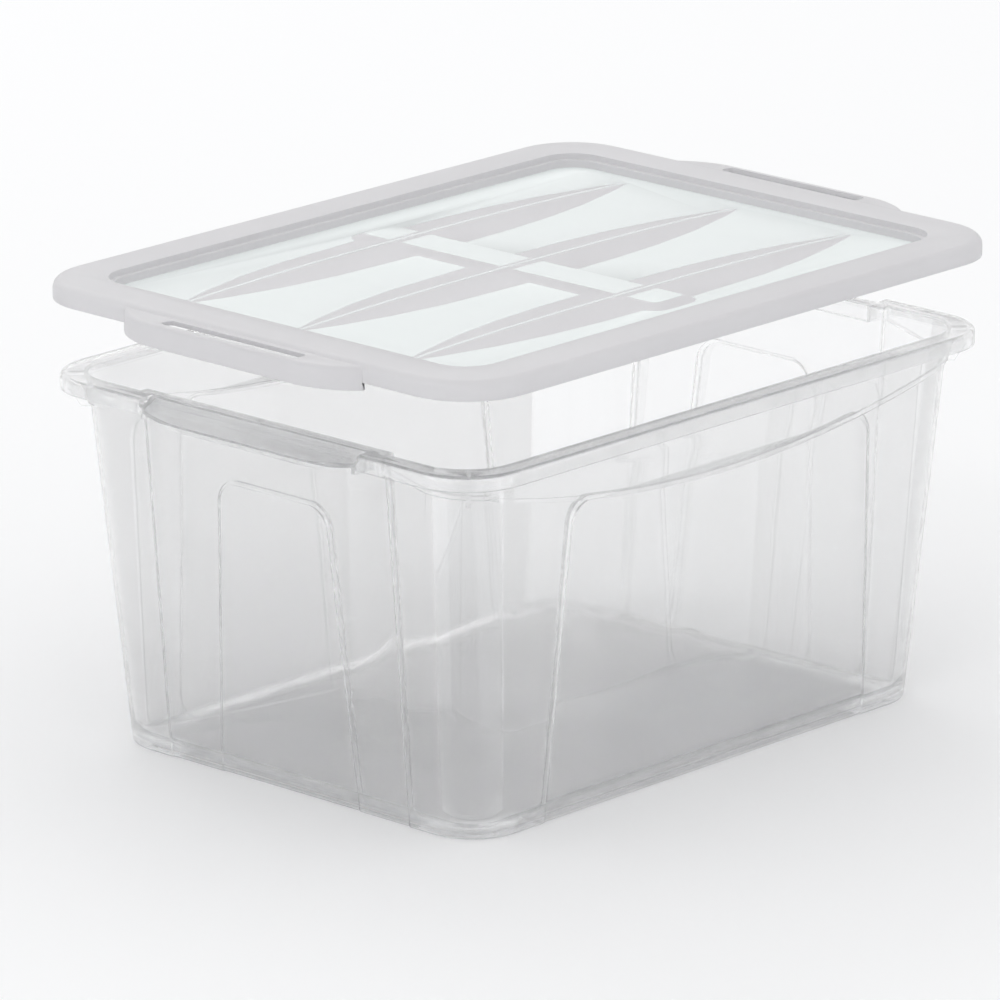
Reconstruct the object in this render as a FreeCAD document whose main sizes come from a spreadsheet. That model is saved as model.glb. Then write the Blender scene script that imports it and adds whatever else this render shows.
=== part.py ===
# A clear lidded storage box for shoes: a tapered tub with a flanged rim and a lift-off lid.
# Two mouldings, each the difference of an outer form and an inner form.
# Frame: X along the long side, Y along the short side, Z up, origin under the middle of the tub.
import FreeCAD
import Part
import Sketcher
import math
import os

doc = FreeCAD.newDocument("storage_box")
sheet = doc.addObject("Spreadsheet::Sheet", "sizes")

# Driving sizes: alias, value in mm (or degrees), meaning.
SIZES = [
    ("rim_length", 400, "outer length of the tub's rim, without the grips"),
    ("rim_width", 302, "outer width of the tub's rim"),
    ("tub_height", 197, "foot to top of rim"),
    ("end_lean", 17.5, "how far a short wall leans outward between foot and rim"),
    ("side_lean", 12.5, "how far a long wall leans outward between foot and rim"),
    ("rim_overhang", 11, "how far the rim stands out from the wall, all round"),
    ("rim_drop", 8, "height of the rim's skirt"),
    ("rim_corner", 33, "corner radius of the rim"),
    ("wall_corner", 28, "corner radius of the walls"),
    ("skin", 2, "wall thickness of both mouldings"),
    ("floor_skin", 2.6, "thickness of the tub's floor"),
    ("foot_inset", 17, "width of the standing ring under the floor"),
    ("foot_rise", 0.8, "how far the floor inside that ring is lifted"),
    ("cove_size", 12, "inside radius between wall and floor"),
    ("band_proud", 1.6, "how far the band below the rim stands out"),
    ("smile_low", 159, "height of the band's curved edge at the middle of a long wall"),
    ("smile_end", 180.5, "height of that edge where the corner begins"),
    ("smile_reach", 174, "half length of the curved edge"),
    ("panel_depth", 3, "depth of the sunk panels at the rim's height"),
    ("panel_fade", 1, "depth of the sunk panels at the foot"),
    ("panel_foot", 121, "half width of a long wall's panel at the foot"),
    ("panel_flare", 3.5, "degrees that a panel's side leans outward"),
    ("panel_corner", 13, "radius at the top corners of a long wall's panel"),
    ("bay_half", 83, "half width of the sunk bay of a short wall"),
    ("door_depth", 2.4, "depth of the arched panel within that bay, at the rim's height"),
    ("door_fade", 0.8, "depth of the arched panel at the foot"),
    ("door_top", 158, "height of the arched panel"),
    ("door_foot", 48, "half width of the arched panel at the foot"),
    ("door_flare", 4.2, "degrees that its sides lean outward"),
    ("door_corner", 12, "radius of its top corners"),
    ("grip_reach", 6, "how far a grip stands out beyond the rim"),
    ("grip_half", 52, "half length of a grip's straight lip"),
    ("grip_end", 74, "half length of a grip with its ends"),
    ("grip_brow", 10, "top of a grip's sloping face to the rim's outer edge"),
    ("grip_slope", 7, "how far a grip's face falls from the rim to its lip"),
    ("grip_drop", 10, "rim's top to the underside of a grip's lip"),
    ("gusset_drop", 18.5, "rim's top to the foot of a corner gusset"),
    ("gusset_skin", 2.4, "thickness of a corner gusset"),
    ("gusset_reach", 9, "how far a corner gusset stands out from the wall"),
    ("lid_gap", 1, "side clearance between rim and lid"),
    ("seat_gap", 0.3, "gap between the closed lid and the rim"),
    ("lid_skin", 2.4, "thickness of the lid's frame"),
    ("lid_skirt", 10, "height of the lid's skirt"),
    ("frame_width", 25, "width of the lid's raised frame"),
    ("ledge_width", 3, "width of the step inside the frame"),
    ("ledge_depth", 3, "depth of that step"),
    ("deck_depth", 7, "depth of the lid's deck below its frame"),
    ("deck_corner", 16, "corner radius of the deck"),
    ("ridge_half", 166, "half length of a ridge"),
    ("ridge_rise", 3, "height of a ridge"),
    ("ridge_spread", 24, "half width of a ridge"),
    ("ridge_pitch", 78, "distance between ridges"),
    ("bridge_half", 108, "half length of the raised cross band"),
    ("bridge_spread", 18, "half width of the cross band at its foot"),
    ("bridge_rise", 2.5, "height of the cross band"),
    ("bridge_lean", 70, "degrees that the cross band's sides lean"),
    ("tab_reach", 14, "how far a lid tab stands out beyond the skirt"),
    ("tab_half", 66, "half length of a tab at its outer edge"),
    ("tab_end", 82, "half length of a tab at the skirt"),
    ("tab_step", 2, "how far a tab lies below the frame"),
    ("tab_skirt", 4, "how much deeper a tab's skirt is than the lid's"),
    ("slot_half", 47, "half length of the slot in a tab"),
    ("slot_width", 8, "width of that slot"),
    ("slot_edge", 4, "slot to the tab's outer edge"),
    ("lid_lift", 46, "height of the lid above its closed place"),
]
for row, (alias, size, meaning) in enumerate(SIZES, start=1):
    sheet.set(f"A{row}", alias)
    sheet.set(f"B{row}", str(size))
    sheet.set(f"C{row}", meaning)
    sheet.setAlias(f"B{row}", alias)
doc.recompute()
ALIASES = sorted((alias for alias, size, meaning in SIZES), key=len, reverse=True)


def bound(formula):
    """Write a formula of aliases as an expression that reads the sheet."""
    words = formula.replace("(", " ( ").replace(")", " ) ").split()
    return " ".join(f"sizes.{word}" if word in ALIASES else word for word in words)


def number(formula):
    """Today's value of a formula of aliases."""
    result = sheet.evalExpression(bound(formula))
    return float(getattr(result, "Value", result))


def bind(thing, path, formula):
    thing.setExpression(path, bound(formula))


# ---- sketches ---------------------------------------------------------------------------------

def new_sketch(body, name, plane, offset="0"):
    """A sketch on one of the body's own origin planes, moved along its normal."""
    sketch = body.newObject("Sketcher::SketchObject", name)
    support = [item for item in body.Origin.OriginFeatures if item.Role == plane][0]
    sketch.AttachmentSupport = [(support, "")]
    sketch.MapMode = "FlatFace"
    bind(sketch, "AttachmentOffset.Base.z", offset)
    return sketch


def point(x, y):
    return FreeCAD.Vector(x, y, 0)


def hold(sketch, kind, *places, size=None):
    """Add a constraint, bound to a formula when it has a size."""
    if size is None:
        return sketch.addConstraint(Sketcher.Constraint(kind, *places))
    amount = number(size)
    if kind == "Angle":
        amount = math.radians(amount)
    index = sketch.addConstraint(Sketcher.Constraint(kind, *places, amount))
    bind(sketch, f"Constraints[{index}]", f"( {size} ) * 1 deg" if kind == "Angle" else size)
    return index


def pin(sketch, item, end, x, y):
    """Fix one end of a sketch item at x, y; each is a formula or None."""
    for kind, formula in (("DistanceX", x), ("DistanceY", y)):
        if formula is not None:
            hold(sketch, kind, -1, 1, item, end, size=formula)


def rounded_rectangle(sketch, half_x, half_y, radius):
    """A centred rectangle with rounded corners, counter-clockwise from its lower side."""
    a, b, r = number(half_x), number(half_y), number(radius)
    sides = [
        Part.LineSegment(point(r - a, -b), point(a - r, -b)),
        Part.LineSegment(point(a, r - b), point(a, b - r)),
        Part.LineSegment(point(a - r, b), point(r - a, b)),
        Part.LineSegment(point(-a, b - r), point(-a, r - b)),
    ]
    turns = []
    for index, (sx, sy) in enumerate(((1, -1), (1, 1), (-1, 1), (-1, -1))):
        ring = Part.Circle(point(sx * (a - r), sy * (b - r)), FreeCAD.Vector(0, 0, 1), r)
        start = (index - 1) * math.pi / 2
        turns.append(Part.ArcOfCircle(ring, start, start + math.pi / 2))
    line = [sketch.addGeometry(side, False) for side in sides]
    arc = [sketch.addGeometry(turn, False) for turn in turns]
    for index in range(4):
        hold(sketch, "Tangent", line[index], 2, arc[index], 1)
        hold(sketch, "Tangent", arc[index], 2, line[(index + 1) % 4], 1)
        hold(sketch, "Horizontal" if index % 2 == 0 else "Vertical", line[index])
        if index:
            hold(sketch, "Equal", arc[0], arc[index])
    hold(sketch, "Radius", arc[0], size=radius)
    hold(sketch, "DistanceY", line[0], 1, -1, 1, size=half_y)
    hold(sketch, "DistanceX", -1, 1, line[1], 1, size=half_x)
    hold(sketch, "DistanceY", -1, 1, line[2], 1, size=half_y)
    hold(sketch, "DistanceX", line[3], 1, -1, 1, size=half_x)


def polygon(sketch, corners):
    """Straight sides through corners given as pairs of formulas."""
    spots = [point(number(x), number(y)) for x, y in corners]
    count = len(spots)
    first = sketch.GeometryCount
    for index in range(count):
        sketch.addGeometry(Part.LineSegment(spots[index], spots[(index + 1) % count]), False)
    for index in range(count):
        hold(sketch, "Coincident", first + index, 2, first + (index + 1) % count, 1)
        pin(sketch, first + index, 1, corners[index][0], corners[index][1])


def arch(sketch, foot_half, flare, top, radius, base):
    """A door outline: level foot and top, sides that lean outward going down, round top corners."""
    a, lean, z, r, z0 = number(foot_half), math.radians(number(flare)), number(top), number(radius), number(base)
    shift = (z - z0) * math.tan(lean)
    left, right = point(-a, z0), point(a, z0)
    top_y = point(0, z).y
    inner = a - shift - r
    sides = [
        Part.LineSegment(left, right),
        Part.LineSegment(right, point(a - shift, top_y - r)),
        Part.LineSegment(point(inner, top_y), point(-inner, top_y)),
        Part.LineSegment(point(shift - a, top_y - r), left),
    ]
    line = [sketch.addGeometry(side, False) for side in sides]
    ring_right = Part.Circle(point(inner, top_y - r), FreeCAD.Vector(0, 0, 1), r)
    ring_left = Part.Circle(point(-inner, top_y - r), FreeCAD.Vector(0, 0, 1), r)
    arc_right = sketch.addGeometry(Part.ArcOfCircle(ring_right, lean, math.pi / 2), False)
    arc_left = sketch.addGeometry(Part.ArcOfCircle(ring_left, math.pi / 2, math.pi - lean), False)
    hold(sketch, "Coincident", line[0], 2, line[1], 1)
    hold(sketch, "Coincident", line[3], 2, line[0], 1)
    hold(sketch, "Tangent", line[1], 2, arc_right, 1)
    hold(sketch, "Tangent", arc_right, 2, line[2], 1)
    hold(sketch, "Tangent", line[2], 2, arc_left, 1)
    hold(sketch, "Tangent", arc_left, 2, line[3], 1)
    hold(sketch, "Equal", arc_right, arc_left)
    hold(sketch, "Radius", arc_right, size=radius)
    pin(sketch, line[0], 1, f"0 - ( {foot_half} )", base)
    pin(sketch, line[0], 2, foot_half, base)
    pin(sketch, line[2], 1, None, top)
    hold(sketch, "Horizontal", line[2])
    hold(sketch, "Angle", line[1], size=f"90 + {flare}")
    hold(sketch, "Angle", line[3], size=f"0 - 90 - {flare}")


# ---- features ---------------------------------------------------------------------------------

def pad(body, name, sketch, length, both=False, along=None, lean=None):
    feature = body.newObject("PartDesign::Pad", name)
    feature.Profile = sketch
    bind(feature, "Length", length)
    feature.Midplane = both
    if along is not None:
        feature.UseCustomVector = True
        feature.Direction = FreeCAD.Vector(0, along, 0)
        bind(feature, "Direction.z", "0 - ridge_rise / ridge_spread")
    if lean is not None:
        bind(feature, "TaperAngle", f"0 - {lean}")
    return feature


def through(body, name, sketch):
    """Cut the sketch right through the form, both ways."""
    feature = body.newObject("PartDesign::Pocket", name)
    feature.Profile = sketch
    feature.Type = "ThroughAll"
    feature.Midplane = True
    return feature


def sink(body, name, sketch, depth, upward=False):
    feature = body.newObject("PartDesign::Pocket", name)
    feature.Profile = sketch
    bind(feature, "Length", depth)
    feature.Reversed = upward
    return feature


def tapered(body, name, inset, base, top, sunk=("0", "0"), deeper=("0", "0")):
    """A block that follows the tub's walls, drawn in by the inset.

    sunk is how far it lies below the walls at the foot and at the rim's height, and deeper
    is what the short walls add to that.
    """
    sections = []
    for place, height in (("foot", base), ("head", top)):
        share = f"( {height} ) / tub_height"
        below = f"( {inset} + {sunk[0]} + ( {sunk[1]} - {sunk[0]} ) * {share} )"
        extra = f"( {deeper[0]} + ( {deeper[1]} - {deeper[0]} ) * {share} )"
        half_x = f"rim_length / 2 - rim_overhang - end_lean * ( 1 - {share} )"
        half_y = f"rim_width / 2 - rim_overhang - side_lean * ( 1 - {share} )"
        sketch = new_sketch(body, f"{name}_{place}", "XY_Plane", height)
        rounded_rectangle(sketch, f"{half_x} - {below} - {extra}", f"{half_y} - {below}", f"wall_corner - {below}")
        sections.append(sketch)
    loft = body.newObject("PartDesign::AdditiveLoft", name)
    loft.Profile = sections[0]
    loft.Sections = sections[1:]
    loft.Ruled = True
    return loft


def fillet_at(body, name, base, height, radius):
    """Round the edges of the flat face at one height."""
    doc.recompute()
    level = number(height)
    box = [abs(face.BoundBox.ZMax - level) < 1e-4 and abs(face.BoundBox.ZMin - level) < 1e-4
           for face in base.Shape.Faces]
    feature = body.newObject("PartDesign::Fillet", name)
    feature.Base = (base, [f"Face{box.index(True) + 1}"])
    bind(feature, "Radius", radius)
    return feature


def new_body(name):
    return doc.addObject("PartDesign::Body", name)


def moulding(name, outer, inner):
    """The finished piece: the outer form less the inner form."""
    piece = doc.addObject("Part::Cut", name)
    piece.Base = outer
    piece.Tool = inner
    piece.Label = name
    return piece


# ---- tub --------------------------------------------------------------------------------------

def smile_cut(body, name, grow):
    """Everything below the curved edge of the band, seen square on to a long wall."""
    sketch = new_sketch(body, f"{name}_edge", "XZ_Plane")
    reach, low, end = number("smile_reach"), number(f"smile_low + {grow}"), number(f"smile_end + {grow}")
    far, floor = number("rim_length"), -number("tub_height")
    corners = [point(-reach, end), point(-far, end), point(-far, floor), point(far, floor), point(far, end),
               point(reach, end)]
    for start, stop in zip(corners[:-1], corners[1:]):
        sketch.addGeometry(Part.LineSegment(start, stop), False)
    curve = sketch.addGeometry(Part.Arc(point(reach, end), point(0, low), point(-reach, end)), False)
    for index in range(4):
        hold(sketch, "Coincident", index, 2, index + 1, 1)
    hold(sketch, "Coincident", 4, 2, curve, 2)
    hold(sketch, "Coincident", curve, 1, 0, 1)
    pin(sketch, 0, 1, "0 - smile_reach", f"smile_end + {grow}")
    pin(sketch, 1, 1, "0 - rim_length", f"smile_end + {grow}")
    pin(sketch, 2, 1, "0 - rim_length", "0 - tub_height")
    pin(sketch, 3, 1, "rim_length", "0 - tub_height")
    pin(sketch, 4, 1, "rim_length", f"smile_end + {grow}")
    pin(sketch, 4, 2, "smile_reach", f"smile_end + {grow}")
    rise = "( smile_end - smile_low )"
    hold(sketch, "Radius", curve, size=f"( smile_reach ^ 2 + {rise} ^ 2 ) / ( 2 * {rise} )")
    return through(body, name, sketch)


def shoulder_cut(body, name, grow):
    """Everything below the band's edge where it climbs to the rim on a short wall."""
    sketch = new_sketch(body, f"{name}_edge", "YZ_Plane")
    half = f"rim_width / 2 - rim_overhang - {grow} - skin"
    under = f"tub_height - rim_drop + {grow}"
    low = f"smile_end + {grow}"
    side = f"bay_half + {grow}"
    polygon(sketch, [
        (f"0 - ( {half} )", "0 - tub_height"),
        (half, "0 - tub_height"),
        (half, low),
        (f"( {half} + {side} ) / 2", f"{low} + ( {under} - {low} ) / 4"),
        (side, under),
        (side, "2 * tub_height"),
        (f"0 - ( {side} )", "2 * tub_height"),
        (f"0 - ( {side} )", under),
        (f"0 - ( {half} + {side} ) / 2", f"{low} + ( {under} - {low} ) / 4"),
        (f"0 - ( {half} )", low),
    ])
    return through(body, name, sketch)


def panel_cut(body, name, grow):
    """The sunk panel of a long wall: leaning sides, round corners, the band's curve as its top."""
    sketch = new_sketch(body, f"{name}_edge", "XZ_Plane")
    rise = "( smile_end - smile_low )"
    sweep = f"( smile_reach ^ 2 + {rise} ^ 2 ) / ( 2 * {rise} )"
    big, r, lean = number(sweep), number("panel_corner"), math.radians(number("panel_flare"))
    half, peak = number(f"panel_foot + {grow}"), number(f"smile_low + {grow}") + big
    x, z = half - r, number("smile_low") - r
    for _ in range(20):
        x = half - z * math.tan(lean) - r / math.cos(lean)
        z = peak - math.sqrt((big + r) ** 2 - x ** 2)
    aim = math.atan2(peak - z, -x)
    touch = math.atan2(z - peak, x) % (2 * math.pi)
    up = FreeCAD.Vector(0, 0, 1)
    side_end = point(x + r * math.cos(lean), z + r * math.sin(lean))
    foot = sketch.addGeometry(Part.LineSegment(point(-half, 0), point(half, 0)), False)
    right = sketch.addGeometry(Part.LineSegment(point(half, 0), side_end), False)
    left = sketch.addGeometry(Part.LineSegment(point(-side_end.x, side_end.y), point(-half, 0)), False)
    turn = sketch.addGeometry(Part.ArcOfCircle(Part.Circle(point(x, z), up, r), lean, aim), False)
    back = sketch.addGeometry(
        Part.ArcOfCircle(Part.Circle(point(-x, z), up, r), math.pi - aim, math.pi - lean), False)
    smile = sketch.addGeometry(
        Part.ArcOfCircle(Part.Circle(point(0, peak), up, big), 3 * math.pi - touch, touch), False)
    hold(sketch, "Coincident", foot, 2, right, 1)
    hold(sketch, "Coincident", left, 2, foot, 1)
    hold(sketch, "Tangent", right, 2, turn, 1)
    hold(sketch, "Tangent", turn, 2, smile, 2)
    hold(sketch, "Tangent", smile, 1, back, 1)
    hold(sketch, "Tangent", back, 2, left, 1)
    hold(sketch, "Equal", turn, back)
    hold(sketch, "Radius", turn, size="panel_corner")
    hold(sketch, "Radius", smile, size=sweep)
    hold(sketch, "PointOnObject", smile, 3, -2)
    pin(sketch, smile, 3, None, f"smile_low + {grow} + {sweep}")
    pin(sketch, foot, 1, f"0 - panel_foot - {grow}", "0")
    pin(sketch, foot, 2, f"panel_foot + {grow}", "0")
    hold(sketch, "Angle", right, size="90 + panel_flare")
    hold(sketch, "Angle", left, size="0 - 90 - panel_flare")
    return through(body, name, sketch)


def bay_cut(body, name, grow):
    """The sunk bay of a short wall, full height."""
    sketch = new_sketch(body, f"{name}_edge", "YZ_Plane")
    side = f"bay_half + {grow}"
    polygon(sketch, [(f"0 - ( {side} )", "0 - tub_height"), (side, "0 - tub_height"),
                     (side, "2 * tub_height"), (f"0 - ( {side} )", "2 * tub_height")])
    return through(body, name, sketch)


def door_cut(body, name, grow):
    """The arched panel within the bay."""
    sketch = new_sketch(body, f"{name}_edge", "YZ_Plane")
    arch(sketch, f"door_foot + {grow}", "door_flare", f"door_top + {grow}", f"door_corner + {grow}", "0")
    return through(body, name, sketch)


def tub_form(name, inset, floor, top):
    """The tub's walls as a solid, with the band, panels, bays and doors, drawn in by the inset."""
    body = new_body(name)
    tapered(body, f"{name}_band", f"{inset} - band_proud", "smile_low", top)
    smile_cut(body, f"{name}_smile", inset)
    shoulder_cut(body, f"{name}_shoulder", inset)
    tapered(body, f"{name}_walls", inset, floor, top)
    panel_cut(body, f"{name}_panel", inset)
    bay_cut(body, f"{name}_bay", inset)
    sunk = ("panel_fade", "panel_depth")
    tapered(body, f"{name}_sunk", inset, floor, top, sunk)
    door_cut(body, f"{name}_door", inset)
    deep = tapered(body, f"{name}_deep", inset, floor, top, sunk, ("door_fade", "door_depth"))
    return body, deep


def add_rim(body):
    """The flange around the mouth: a flat plate and a skirt that hangs from its edge."""
    plate = new_sketch(body, "rim_plate_outline", "XY_Plane", "tub_height - skin")
    rounded_rectangle(plate, "rim_length / 2", "rim_width / 2", "rim_corner")
    pad(body, "rim_plate", plate, "skin")
    skirt = new_sketch(body, "rim_skirt_outline", "XY_Plane", "tub_height - rim_drop")
    rounded_rectangle(skirt, "rim_length / 2", "rim_width / 2", "rim_corner")
    rounded_rectangle(skirt, "rim_length / 2 - skin", "rim_width / 2 - skin", "rim_corner - skin")
    pad(body, "rim_skirt", skirt, "rim_drop")


def add_grips(body):
    """A lip along the middle of each short rim: a sloping face with room for fingers under it."""
    wall = "( rim_length / 2 - rim_overhang - panel_depth )"
    lip = "( rim_length / 2 + grip_reach )"
    plan = new_sketch(body, "grip_outline", "XY_Plane", "tub_height - grip_drop")
    slope = new_sketch(body, "grip_face_section", "XZ_Plane")
    hollow = new_sketch(body, "grip_hollow_section", "XZ_Plane")
    for side in ("", "0 - "):
        polygon(plan, [
            (f"{side}( {wall} - skin / 2 )", "0 - grip_end"),
            (f"{side}( rim_length / 2 )", "0 - grip_end"),
            (f"{side}{lip}", "0 - grip_half"),
            (f"{side}{lip}", "grip_half"),
            (f"{side}( rim_length / 2 )", "grip_end"),
            (f"{side}( {wall} - skin / 2 )", "grip_end"),
        ])
        polygon(slope, [
            (f"{side}( rim_length / 2 - grip_brow )", "tub_height"),
            (f"{side}{lip}", "tub_height - grip_slope"),
            (f"{side}( {lip} + skin )", "tub_height - grip_slope"),
            (f"{side}( {lip} + skin )", "tub_height + skin"),
            (f"{side}( rim_length / 2 - grip_brow )", "tub_height + skin"),
        ])
        polygon(hollow, [
            (f"{side}( {wall} + skin )", "tub_height - 2 * grip_drop"),
            (f"{side}( {lip} - skin )", "tub_height - 2 * grip_drop"),
            (f"{side}( {lip} - skin )", "tub_height - grip_slope - skin * 2 / 3"),
            (f"{side}( rim_length / 2 - grip_brow )", "tub_height - skin * 11 / 10"),
            (f"{side}( {wall} + skin )", "tub_height - skin * 11 / 10"),
        ])
    pad(body, "grips", plan, "grip_drop")
    face = sink(body, "grip_faces", slope, "2 * grip_end")
    face.Midplane = True
    gap = sink(body, "grip_hollows", hollow, "2 * ( grip_end - skin )")
    gap.Midplane = True


def add_gussets(body):
    """A thin upright rib under the rim at each corner."""
    sketch = new_sketch(body, "gusset_outline", "XY_Plane", "tub_height - gusset_drop")
    centre_x = "rim_length / 2 - rim_overhang - wall_corner"
    centre_y = "rim_width / 2 - rim_overhang - wall_corner"
    near, far, half = "( wall_corner - skin )", "( wall_corner + gusset_reach )", "gusset_skin / 2"
    for sx in ("", "0 - "):
        for sy in ("", "0 - "):
            polygon(sketch, [
                (f"{sx}( {centre_x} + ( {near} + {half} ) * 0.5 ^ 0.5 )",
                 f"{sy}( {centre_y} + ( {near} - {half} ) * 0.5 ^ 0.5 )"),
                (f"{sx}( {centre_x} + ( {far} + {half} ) * 0.5 ^ 0.5 )",
                 f"{sy}( {centre_y} + ( {far} - {half} ) * 0.5 ^ 0.5 )"),
                (f"{sx}( {centre_x} + ( {far} - {half} ) * 0.5 ^ 0.5 )",
                 f"{sy}( {centre_y} + ( {far} + {half} ) * 0.5 ^ 0.5 )"),
                (f"{sx}( {centre_x} + ( {near} - {half} ) * 0.5 ^ 0.5 )",
                 f"{sy}( {centre_y} + ( {near} + {half} ) * 0.5 ^ 0.5 )"),
            ])
    pad(body, "gussets", sketch, "gusset_drop - skin / 2")


def make_tub():
    outer, _ = tub_form("tub_outer", "0", "0", "tub_height")
    add_rim(outer)
    add_grips(outer)
    add_gussets(outer)
    ring = new_sketch(outer, "foot_outline", "XY_Plane")
    rounded_rectangle(
        ring,
        "rim_length / 2 - rim_overhang - end_lean - foot_inset",
        "rim_width / 2 - rim_overhang - side_lean - foot_inset",
        "wall_corner - foot_inset",
    )
    sink(outer, "foot_recess", ring, "foot_rise", upward=True)
    inner, deep = tub_form("tub_inner", "skin", "floor_skin", "tub_height + skin")
    fillet_at(inner, "cove", deep, "floor_skin", "cove_size")
    return moulding("tub", outer, inner)


# ---- lid, drawn in its closed place -------------------------------------------------------------

def spread(sketch, half_x, half_y, foot_y):
    """The plan of both tabs: straight outer edges and slanted ends."""
    for side in ("", "0 - "):
        polygon(sketch, [
            (f"{side}( {half_x[0]} )", f"0 - ( {foot_y} )"),
            (f"{side}( {half_x[1]} )", f"0 - ( {foot_y} )"),
            (f"{side}( {half_x[2]} )", f"0 - ( {half_y} )"),
            (f"{side}( {half_x[2]} )", half_y),
            (f"{side}( {half_x[1]} )", foot_y),
            (f"{side}( {half_x[0]} )", foot_y),
        ])


def lid_form(name, inset, drop, foot):
    """The lid's shape as a solid: frame, tabs, sunk deck, ridges and cross band."""
    body = new_body(name)
    half_x = f"rim_length / 2 + lid_gap + skin - {inset}"
    half_y = f"rim_width / 2 + lid_gap + skin - {inset}"
    top = f"tub_height + seat_gap + lid_skin - {drop}"
    block = new_sketch(body, f"{name}_outline", "XY_Plane", foot)
    rounded_rectangle(block, half_x, half_y, f"rim_corner + lid_gap + skin - {inset}")
    pad(body, f"{name}_block", block, f"{top} - ( {foot} )")
    tabs = new_sketch(body, f"{name}_tab_outline", "XY_Plane", f"{foot} - tab_skirt")
    spread(tabs, (f"{half_x} - frame_width / 2", half_x, f"{half_x} + tab_reach"),
           f"tab_half - {inset}", f"tab_end - {inset}")
    pad(body, f"{name}_tabs", tabs, f"{top} - tab_step - ( {foot} ) + tab_skirt")
    inner_x = f"rim_length / 2 + lid_gap + skin - frame_width + {inset}"
    inner_y = f"rim_width / 2 + lid_gap + skin - frame_width + {inset}"
    ledge = new_sketch(body, f"{name}_ledge_outline", "XY_Plane", top)
    rounded_rectangle(ledge, inner_x, inner_y, "deck_corner + ledge_width")
    sink(body, f"{name}_ledge", ledge, "ledge_depth")
    deck = new_sketch(body, f"{name}_deck_outline", "XY_Plane", top)
    rounded_rectangle(deck, f"{inner_x} - ledge_width", f"{inner_y} - ledge_width", "deck_corner")
    sink(body, f"{name}_deck", deck, "deck_depth")
    level = f"{top} - deck_depth"
    for index, place in enumerate(("0 - ridge_pitch", "0", "ridge_pitch")):
        for along in (-1, 1):
            section = new_sketch(body, f"{name}_ridge_{index}_{'near' if along < 0 else 'far'}_section",
                                 "XZ_Plane", f"0 - ( {place} )")
            crest(section, level)
            pad(body, f"{name}_ridge_{index}_{'near' if along < 0 else 'far'}", section,
                "( ridge_spread ^ 2 + ridge_rise ^ 2 ) ^ 0.5", along=along)
    bridge = new_sketch(body, f"{name}_bridge_outline", "XY_Plane", f"{level} - skin / 4")
    rounded_rectangle(bridge, "bridge_spread", "bridge_half", "bridge_spread * 3 / 5")
    pad(body, f"{name}_bridge", bridge, "bridge_rise + skin / 4", lean="bridge_lean")
    return body


def crest(sketch, level):
    """The long low arc of a ridge, standing on the deck."""
    half, rise, base = number("ridge_half"), number("ridge_rise"), number(level)
    curve = sketch.addGeometry(Part.Arc(point(half, base), point(0, base + rise), point(-half, base)), False)
    chord = sketch.addGeometry(Part.LineSegment(point(-half, base), point(half, base)), False)
    hold(sketch, "Coincident", curve, 2, chord, 1)
    hold(sketch, "Coincident", chord, 2, curve, 1)
    pin(sketch, chord, 1, "0 - ridge_half", level)
    pin(sketch, chord, 2, "ridge_half", level)
    hold(sketch, "Radius", curve, size="( ridge_half ^ 2 + ridge_rise ^ 2 ) / ( 2 * ridge_rise )")


def make_lid():
    foot = "tub_height + seat_gap + lid_skin - lid_skirt"
    outer = lid_form("lid_outer", "0", "0", foot)
    slots = new_sketch(outer, "slot_outline", "XY_Plane", "2 * tub_height")
    edge = "rim_length / 2 + lid_gap + skin + tab_reach - slot_edge"
    for side in ("", "0 - "):
        polygon(slots, [
            (f"{side}( {edge} - slot_width )", "0 - slot_half"),
            (f"{side}( {edge} )", "0 - slot_half"),
            (f"{side}( {edge} )", "slot_half"),
            (f"{side}( {edge} - slot_width )", "slot_half"),
        ])
    sink(outer, "slots", slots, "2 * tub_height")
    inner = lid_form("lid_inner", "skin", "lid_skin", f"{foot} - lid_skirt")
    lid = moulding("lid", outer, inner)
    bind(lid, "Placement.Base.z", "lid_lift")
    return lid


# ---- build, check and write ---------------------------------------------------------------------

pieces = [make_tub(), make_lid()]
doc.recompute()
for item in doc.Objects:
    if "Invalid" in item.State or "Error" in item.State:
        raise RuntimeError(f"{item.Name} failed: {item.State}")
os.makedirs("parts", exist_ok=True)
for piece in pieces:
    shape = piece.Shape
    if shape.isNull() or not shape.isValid() or len(shape.Solids) != 1:
        raise RuntimeError(f"{piece.Label} is not one valid solid")
    shape.exportStep(f"parts/{piece.Label}.step")
    box = shape.BoundBox
    print(f"{piece.Label}: {shape.Volume / 1000:.1f} cm3, X {box.XMin:.1f} to {box.XMax:.1f}, "
          f"Y {box.YMin:.1f} to {box.YMax:.1f}, Z {box.ZMin:.1f} to {box.ZMax:.1f}")
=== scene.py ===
# %% [markdown]
# # A clear storage box for shoes, with its lid
#
# The box is two plastic mouldings: a clear tub with a rim, and a milky lid that lifts straight off it.
# The engineering model already fixes every size and place, so this lesson starts by opening it.
# We read each piece's box from it, and build a finer surface for the same piece in the same spot.

# %% Open the engineering model
import math

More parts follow.
